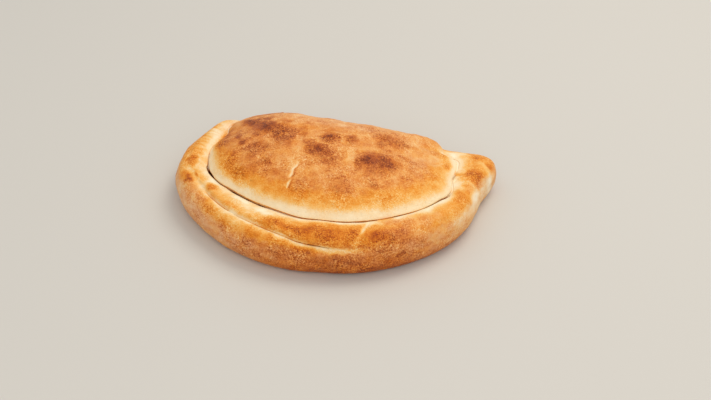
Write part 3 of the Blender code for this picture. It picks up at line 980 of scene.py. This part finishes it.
x, y, z = points.T
upward = np.maximum(surface_normals(crust.data)[:, 2], 0)
sideways = ease(0.75, 0.3, upward)
wide = lumps(18, 11, points)
narrow = lumps(6, 12, points)
lying = points * [1, 1, 2.2]  # places for noise that lies flat along the sides
degrees = np.degrees(angle) % 360
in_front = ease(232, 250, degrees) * ease(318, 300, degrees)

from_foot = past_foot * 13 / PALE_BAND(angle) + 2.5 * wide + 1.2 * narrow
dome_bake = COVERED + GOLDEN * ease(0, 13, from_foot) + CROWN_MORE * ease(9, 24, from_foot)

from_lip = -past_lip + 1.5 * wide + 1.0 * narrow
flap_more = FLAP_MORE + FLAP_MORE_IN_FRONT * in_front
rim_bake = LIP_BAKE + flap_more * ease(-1, LIP_BAND(angle), from_lip)
# Partly painted shade: the side is browner in front and near the floor.
side_bake_and_shade = SIDE_BAKE_AND_SHADE(angle) + 0.10 * lumps(13, 31, lying) + 0.10 * lumps(6, 32, lying)
side_bake_and_shade += UNDERSIDE_BROWN(angle) * ease(14, 4, z) - SHOULDER_PALE(angle) * ease(14, 23, z)
rim_bake = mixed(rim_bake, side_bake_and_shade, sideways)

in_valley = VALLEY_PALE(angle)
valley_reach = np.where(past_crease > 0, PALE_ABOVE, PALE_BELOW)
valley_reach = valley_reach * (0.3 + 0.7 * in_valley) * (1 + 0.4 * narrow)
valley = in_valley * np.exp(-(np.abs(past_crease / valley_reach) ** 3))
# Painted shade: where the slit is deep, its bottom is painted brown, as the shade in it.
slit_shade = 0.8 * ease(0.4, 2.2, SLIT_DEPTH(angle)) * near(past_crease, 0.8)
rim_bake = mixed(mixed(rim_bake, VALLEY_BAKE, valley), SLIT_SHADE, slit_shade)

fold_bake = FOLD_BAKE + 0.09 * ease(6, 24, z) + 0.10 * ease(9, 2, z)
fold_bake += (0.10 * lumps(26, 35, points) + 0.09 * lumps(10, 36, points)) * ease(54, 38, z)

on_dome = past_foot > 0
bake = mixed(fold_bake, np.where(on_dome, dome_bake, rim_bake), rolled)
print("first coat:", bake.mean().round(2), "on average")

# %% [markdown]
# The spots go on top. Their outlines wander, as if the plan they are drawn on were crumpled. Between
# them the dome is covered with small blisters side by side, each browned on top and pale where they
# meet. Nothing is browned right at the seams, where the dough was covered.

# %% Brown the spots and the small blisters
SPOT_STRENGTH = 1.25
PALE_ON_DOME = 0.6  # a pale spot shows less on the dome than on the rim

wander_x = 2.4 * lumps(11, 21, points) + 1.3 * lumps(5, 22, points)
wander_y = 2.4 * lumps(11, 23, points) + 1.3 * lumps(5, 24, points)
browned = SPOT_STRENGTH * spots(SPOTS, x + wander_x, y + wander_y, steepness=1.6, ring=0.25)
browned = np.where((browned < 0) & on_dome, PALE_ON_DOME * browned, browned)
browned *= np.where(on_dome, mixed(1, ease(3, 12, from_foot), rolled), 1 - valley)

met, blister_top = cells(9.0, 5, points)
browned_tops = 0.07 * (blister_top - 0.35) - 0.04 * met
browned_tops *= np.where(on_dome, ease(4, 14, from_foot), 0.8)
bake += (browned + browned_tops) * ease(0.15, 0.6, upward)
print("with its spots:", bake.mean().round(2), "on average")

# %% [markdown]
# Last come the small things that the eye looks for. The dry crack shows pale dough beside a scorched
# edge. What stands up is browner and what lies low is paler, except that the wrinkles on the left are
# brown lines and the ridge at the right end is painted paler, as a highlight. The first seam shows pale
# dough, and where it gapes its depth is painted nearly black as shade, because hardly any light comes
# back out of so narrow a gap. Right beside it, the foot of the dome is painted a little darker, as shade.

# %% The crack, the ridge and the gap
CRACK_BAKE = 0.125
SCORCHED_BESIDE = 1.6  # mm to the right of the crack

ragged = 0.9 * lumps(3, 14, points)
for line, width, _ in CRACK:
    crack = near(from_line(line, x, y) + ragged, width / 1.3) * on_dome
    scorched = near(from_line(line, x - SCORCHED_BESIDE, y) + ragged, 0.9) * on_dome
    bake = mixed(bake, CRACK_BAKE, 0.8 * crack)
    bake += 0.25 * scorched * (1 - crack)
bake += 0.05 * relief + 0.22 * wrinkled
# Painted highlight: the ridge at the right end is painted paler, where light catches it.
ridge_line, ridge_width, _ = END_RIDGE
bake -= 0.22 * near(from_line(ridge_line, x, y), ridge_width / 1.6)

in_gap = ease(0.3, 2, past_lip) * ease(-0.3, -2, past_foot) * rolled
bake = mixed(bake, COVERED, in_gap)
# Painted shade: deep in a wide gap the dough is painted nearly black, as the shade in it.
painted_gap_shade = ease(1, 2.6, past_lip) * ease(-1, -2.6, past_foot) * ease(3, 6.5, GAP_DEPTH(angle)) * rolled
bake = mixed(bake, 1.0, painted_gap_shade)
# Painted shade: right beside the seam the foot of the dome is painted a little darker.
bake += 0.06 * near(past_foot, 1.3) * on_dome * rolled
print("bake from", bake.min().round(2), "to", bake.max().round(2), "and", bake.mean().round(2), "on average")

# %% [markdown]
# `tan` is flour and slow heat: on the sides, on the crown of the dome far from its foot, on the fold
# behind, and in the floury spots, of which those along the back edge are partly painted sheen. In front
# it fades towards the floor. Deep in the gap it is full, so that the painted shade there is a dull dark
# brown.

# %% Flour the sides and keep both numbers
CROWN_TAN = 0.40
RIM_TAN = 0.08

tan = SIDE_FLOUR(angle) * sideways * (1 + 0.6 * lumps(8, 33, lying))
tan *= mixed(ease(56, 20, z), ease(32, 24, z), rolled)
tan += CROWN_TAN * mixed(1, ease(11, 26, from_foot), rolled) * on_dome
tan += spots(FLOUR_AND_SHEEN, x + wander_x, y + wander_y) * upward
tan *= 1 - 0.5 * in_front * sideways * ease(18, 6, z)
# Deep in the gap tan is full too, so that the painted shade there is a dull dark brown.
tan = np.clip(tan + RIM_TAN * (1 - on_dome) + painted_gap_shade, 0, 1) * (1 - 0.4 * valley)


def keep_on_points(mesh, name, values):
    """Keeps one number for each point, as an attribute that the material can read."""
    mesh.attributes.new(name, "FLOAT", "POINT").data.foreach_set("value", values.astype(np.float32))


keep_on_points(crust.data, "bake", bake)
keep_on_points(crust.data, "tan", tan)
print("tan from", tan.min().round(2), "to", tan.max().round(2), "and", tan.mean().round(2), "on average")

# %% [markdown]
# ## The crust as a material
#
# Baked wheat crust: starch and sugars browned by dry heat. It is dull where flour stayed on it and has
# a soft gloss where it browned. `bake` is roughened by noise of several sizes before it reaches the
# colour ramps, so that every border breaks up into the mottling of a real crust, from patches of about
# a centimetre down to dust.

# %% Start the crust's material
material, tree, shader = new_material("baked_wheat_crust")
on_crust = add_node(tree, "TexCoord").outputs["Object"]
bake_level = add_node(tree, "Attribute", {"attribute_name": "bake"}).outputs["Fac"]
tan_level = add_node(tree, "Attribute", {"attribute_name": "tan"}).outputs["Fac"]

# What Math and Map Range nodes are set to.
LESS = {"operation": "SUBTRACT"}
TIMES = {"operation": "MULTIPLY"}
TIMES_PLUS = {"operation": "MULTIPLY_ADD"}
SMOOTH = {"interpolation_type": "SMOOTHSTEP"}
print("the crust's material reads two numbers from the points, bake and tan")

# %% [markdown]
# Noise does most of the work. Image textures would have to be painted and wrapped round the crust,
# while noise is solid and has no seams. Every pattern is called by what it is on the dough, and its
# scale is worked out from its size there.

# %% The patterns and their sizes
PER_METRE = 1 / MM
PATTERNS = {  # size in mm, detail and roughness
    "regions": (16.0, 1.0, 0.55),  # some parts are livelier than others
    "patches": (9.0, 3.0, 0.55),  # over the bubbles in the dough
    "grains": (2.4, 2.0, 0.6),
    "specks": (1.2, 2.0, 0.6),
    "dust": (0.6, 1.0, 0.55),  # flour is finer than this, but would not show
    "fine lines": (4.0, 2.0, 0.55),
    "dry regions": (9.0, 1.0, 0.55),  # where the fine lines are
    "flour": (6.0, 3.0, 0.55),  # borders of the floury places
    "bumps": (3.0, 2.0, 0.55),
    "pores": (1.1, 3.0, 0.6),
}
patterns = {}
for name, (size, detail, roughness) in PATTERNS.items():
    settings = {"Scale": PER_METRE / size, "Detail": detail, "Roughness": roughness}
    patterns[name] = add_node(tree, "TexNoise", Vector=on_crust, **settings)
print("patterns and their sizes in mm:", {name: row[0] for name, row in PATTERNS.items()})

# %% [markdown]
# A real crust is mottled in four sizes at once: patches of about a centimetre, grains and specks of
# one to two millimetres from the crumb under the skin, and dust. The bake is roughened with all four,
# more where the crust is browned than where it is pale.

# %% Roughen the bake
MOTTLING = {"patches": 0.20, "grains": 0.26, "specks": 0.55, "dust": 0.40}

more_when_browned = {"From_Min": 0.1, "From_Max": 0.72, "To_Min": 0.18, "To_Max": 1.25}
by_bake = add_node(tree, "MapRange", SMOOTH, Value=bake_level, **more_when_browned)
uneven_regions = {"From_Min": 0.35, "From_Max": 0.65, "To_Min": 0.6, "To_Max": 1.3}
by_region = add_node(tree, "MapRange", SMOOTH, Value=patterns["regions"], **uneven_regions)
liveliness = add_node(tree, "Math", TIMES, _0=by_bake, _1=by_region)

mottled = 0.0
for name, strength in MOTTLING.items():
    uneven = add_node(tree, "Math", LESS, _0=patterns[name], _1=0.5)
    mottled = add_node(tree, "Math", TIMES_PLUS, _0=uneven, _1=strength, _2=mottled)
rough_bake = add_node(tree, "Math", TIMES_PLUS, _0=mottled, _1=liveliness, _2=bake_level)
print("the bake is roughened by", ", ".join(MOTTLING))

# %% [markdown]
# Freckles are tiny blisters that burst. They are drawn in cells of 2 mm: some are darker than what is
# round them, some are lighter, and many cells have none. Only browned crust has them.

# %% Freckles
FRECKLE_CELL = 2.0  # mm
DARK_FRECKLE = 0.13
LIGHT_FRECKLE = -0.16

freckles = add_node(tree, "TexVoronoi", {"feature": "F1"}, Vector=on_crust, Scale=PER_METRE / FRECKLE_CELL)
dot = add_node(tree, "MapRange", SMOOTH, Value=freckles, From_Min=0.34, From_Max=0.12)
kind = add_node(tree, "SeparateColor", Color=freckles.outputs["Color"]).outputs
is_dark = add_node(tree, "MapRange", SMOOTH, Value=kind["Red"], From_Min=0.62, From_Max=0.80)
is_light = add_node(tree, "MapRange", SMOOTH, Value=kind["Green"], From_Min=0.70, From_Max=0.85)
dark_dot = add_node(tree, "Math", TIMES, _0=dot, _1=is_dark)
light_dot = add_node(tree, "Math", TIMES, _0=dot, _1=is_light)
browned_here = add_node(tree, "MapRange", SMOOTH, Value=bake_level, From_Min=0.45, From_Max=0.75)
for freckle, strength in ((dark_dot, DARK_FRECKLE), (light_dot, LIGHT_FRECKLE)):
    freckled = add_node(tree, "Math", TIMES, _0=freckle, _1=browned_here)
    rough_bake = add_node(tree, "Math", TIMES_PLUS, _0=freckled, _1=strength, _2=rough_bake)
print("freckles in cells of", FRECKLE_CELL, "mm")

# %% [markdown]
# Fine lines show where the drying skin creased. Noise passes its middle value along curves that
# wander, meet and part, just as such creases do, so a line is drawn wherever it is close to that.

# %% Fine lines
LINE_REACH = 0.022  # how far from its middle value the noise still draws the line
LINE_PALE = -0.10

from_middle = add_node(tree, "Math", LESS, _0=patterns["fine lines"], _1=0.5)
off_line = add_node(tree, "Math", {"operation": "ABSOLUTE"}, _0=from_middle)
on_line = add_node(tree, "MapRange", SMOOTH, Value=off_line, From_Min=LINE_REACH, From_Max=0.0)
is_dry = add_node(tree, "MapRange", SMOOTH, Value=patterns["dry regions"], From_Min=0.45, From_Max=0.6)
fine_line = add_node(tree, "Math", TIMES, _0=on_line, _1=is_dry)
golden_here = add_node(tree, "MapRange", SMOOTH, Value=bake_level, From_Min=0.38, From_Max=0.6)
lined_here = add_node(tree, "Math", TIMES, _0=fine_line, _1=golden_here)
rough_bake = add_node(tree, "Math", TIMES_PLUS, _0=lined_here, _1=LINE_PALE, _2=rough_bake)
print("fine lines where the crust is golden or browner")

# %% [markdown]
# Two ramps turn the roughened bake into colour: a golden one where the oven's heat reached the crust,
# and a duller one with flour baked in. `tan` mixes them.

# %% Colour
# sRGB colours at a few levels of the bake: cream, straw, gold, orange, brown.
GOLDEN_CRUST = {
    0.0: "#fcf0d3", 0.14: "#f8deb1", 0.28: "#f4bd6a", 0.40: "#ec9c39", 0.52: "#df811c",
    0.64: "#cb6a0c", 0.76: "#b04f02", 0.88: "#8c3500", 1.0: "#601e00",
}
# And with flour: cream, biscuit, tan.
FLOURY_CRUST = {
    0.0: "#faebd2", 0.14: "#f4d6ae", 0.28: "#edbd8c", 0.40: "#e5a670", 0.52: "#d68a55",
    0.64: "#bd703f", 0.76: "#9f552c", 1.0: "#663014",
}

ramps = []
for stops in (GOLDEN_CRUST, FLOURY_CRUST):
    ramps.append(add_node(tree, "ValToRGB", Fac=rough_bake))
    elements = ramps[-1].color_ramp.elements
    while len(elements) < len(stops):
        elements.new(1.0)
    for element, (position, hex_colour) in zip(elements, stops.items()):
        element.position = position
        element.color = linear(hex_colour)

uneven = add_node(tree, "Math", LESS, _0=patterns["flour"], _1=0.5)
ragged_tan = {"operation": "MULTIPLY_ADD", "use_clamp": True}
blend = add_node(tree, "Math", ragged_tan, _0=uneven, _1=0.8, _2=tan_level)
has_tan = add_node(tree, "MapRange", SMOOTH, Value=tan_level, From_Min=0.0, From_Max=0.25)
blend = add_node(tree, "Math", TIMES, _0=blend, _1=has_tan)
mixed_colours = add_node(tree, "Mix", {"data_type": "RGBA"}, Factor=blend, _6=ramps[0], _7=ramps[1])
tree.links.new(mixed_colours.outputs[2], shader.inputs["Base Color"])
print("crust at half bake:", GOLDEN_CRUST[0.52], "and with flour:", FLOURY_CRUST[0.52])

# %% [markdown]
# Browned crust has a soft gloss from its sugars and fat, and pale, floury crust has none, so the
# roughness follows the bake too. The mesh carries every shape down to about 3 mm. What is finer is
# only felt as a roughness of the light, so bumps, pores, freckles and fine lines are a Bump node, up
# to 0.8 mm high.

# %% Gloss and grain of the skin
GRAIN_HEIGHT = 0.8 * MM

less_rough = {"From_Min": 0.2, "From_Max": 0.9, "To_Min": 0.72, "To_Max": 0.5}
roughness = add_node(tree, "MapRange", SMOOTH, Value=rough_bake, **less_rough)
tree.links.new(roughness.outputs[0], shader.inputs["Roughness"])
# Dry crust is full of pores, so it reflects less than a solid of the same IOR.
shader.inputs["Specular IOR Level"].default_value = 0.2

grain = add_node(tree, "Math", TIMES, _0=patterns["bumps"], _1=0.5)
heights = ((patterns["pores"], 0.5), (dark_dot, -0.25), (light_dot, 0.35), (lined_here, -0.3))
for mark, raised in heights:
    grain = add_node(tree, "Math", TIMES_PLUS, _0=mark, _1=raised, _2=grain)
skin = add_node(tree, "Bump", Height=grain, Strength=1.0, Distance=GRAIN_HEIGHT)
tree.links.new(skin.outputs["Normal"], shader.inputs["Normal"])
crust.data.materials.append(material)
print("material:", material.name, "with", len(tree.nodes), "nodes")

write_points(crust.data, points * MM)
bpy.ops.object.shade_smooth()
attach(crust, "root")
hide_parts("calzone")
